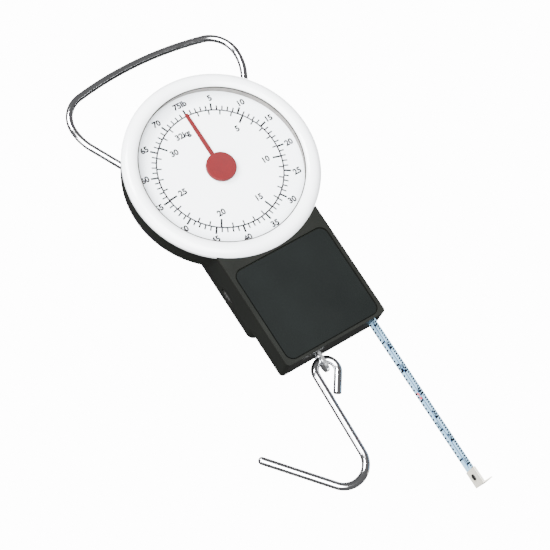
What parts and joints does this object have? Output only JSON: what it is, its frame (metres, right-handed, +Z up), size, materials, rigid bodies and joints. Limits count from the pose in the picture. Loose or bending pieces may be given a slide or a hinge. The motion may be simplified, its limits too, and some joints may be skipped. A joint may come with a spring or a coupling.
{
  "type": "hanging spring scale",
  "caption": "Hanging spring scale with a round dial and red pointer in a flat dark case, a wire carrying bail above, a wire hook below and a short pull-out tape measure.",
  "frame": {"origin": "middle of the carrying bail's top bar, on its underside, where a hand or a rail takes the weight", "axes": "+Z up, -Y towards the dial's reader, +X to the reader's right"},
  "size_m": [0.0855, 0.021, 0.2058],
  "materials": {
    "steel_wire": "polished",
    "black_plastic": "fine satin grain",
    "panel_plastic": "matt",
    "white_plastic": "gloss",
    "clear_window": "clear",
    "dial_print": "printed satin",
    "red_plastic": "satin",
    "bright_steel": "brushed",
    "dark_screw": "black oxide",
    "spring_steel": "oiled",
    "brass": "turned",
    "grey_plastic": "satin",
    "tape_steel": "printed satin",
    "end_hook_steel": "nickel",
    "felt": "felt"
  },
  "bodies": {
    "handle": {"bail_handle": "steel_wire"},
    "case": {"front_case": "black_plastic", "rear_case": "black_plastic", "front_panel": "panel_plastic", "case_screws": "dark_screw", "bezel_ring": "white_plastic", "dial_window": "clear_window", "dial_spacer": "white_plastic", "dial_plate": "dial_print", "front_bushing": "brass", "rear_bushing": "brass", "chassis_plate": "bright_steel", "chassis_screws": "dark_screw", "reel_axle": "bright_steel", "axle_clip": "spring_steel", "tape_brake": "felt", "return_spring": "spring_steel"},
    "draw": {"draw_plate": "bright_steel", "eye_link": "bright_steel", "link_rivets": "bright_steel", "spring_studs": "bright_steel"},
    "needle": {"pointer": "red_plastic", "pointer_hub": "red_plastic", "pointer_shaft": "bright_steel", "pinion": "brass"},
    "hook": {"hook": "steel_wire"},
    "wheel": {"zero_wheel": "grey_plastic", "zero_spindle": "bright_steel"},
    "anchor": {"zero_slide": "bright_steel", "anchor_studs": "bright_steel", "load_spring_left": "spring_steel", "load_spring_right": "spring_steel"},
    "reel": {"reel_drum": "grey_plastic", "tape_coil": "tape_steel"},
    "tape": {"tape_end_hook": "end_hook_steel", "tape_rivet": "end_hook_steel", "tape_blade": "tape_steel"}
  },
  "joints": [
    {"name": "bail_swing", "type": "hinge", "parent": "handle", "child": "case", "pos_m": [0, 0, -0.0381], "axis": [1, 0, 0], "range_deg": [-5, 160]},
    {"name": "load_travel", "type": "slide", "parent": "case", "child": "draw", "axis": [0, 0, -1], "range_m": [0, 0.022], "stiffness_N_per_m": 15200, "deforming": ["load_spring_left", "load_spring_right"]},
    {"name": "pointer_spin", "type": "hinge", "parent": "case", "child": "needle", "pos_m": [0, -0.007, -0.0546], "axis": [0, 1, 0], "range_deg": [0, 361]},
    {"name": "hook_swing", "type": "hinge", "parent": "draw", "child": "hook", "pos_m": [-0.0069, -0.00725, -0.13442], "axis": [1, 0, 0], "range_deg": [-80, 80]},
    {"name": "zero_turn", "type": "hinge", "parent": "case", "child": "wheel", "pos_m": [-0.01655, -0.005, -0.0964], "axis": [0, 1, 0], "range_deg": [-41, 41]},
    {"name": "zero_shift", "type": "slide", "parent": "case", "child": "anchor", "axis": [0, 0, 1], "range_m": [-0.0004, 0.0004]},
    {"name": "reel_spin", "type": "hinge", "parent": "case", "child": "reel", "pos_m": [0.00915, -0.009, -0.1066], "axis": [0, 1, 0], "range_deg": [-400, 210]},
    {"name": "tape_pull", "type": "slide", "parent": "case", "child": "tape", "axis": [0, 0, -1], "range_m": [-0.0579, 0.0304], "deforming": ["tape_blade"]}
  ],
  "couplings": [
    {"joint": "pointer_spin", "follows": "load_travel", "rad_per_m": 285.71},
    {"joint": "zero_turn", "follows": "zero_shift", "rad_per_m": 1754.4},
    {"joint": "reel_spin", "follows": "tape_pull", "rad_per_m": 120.48}
  ]
}
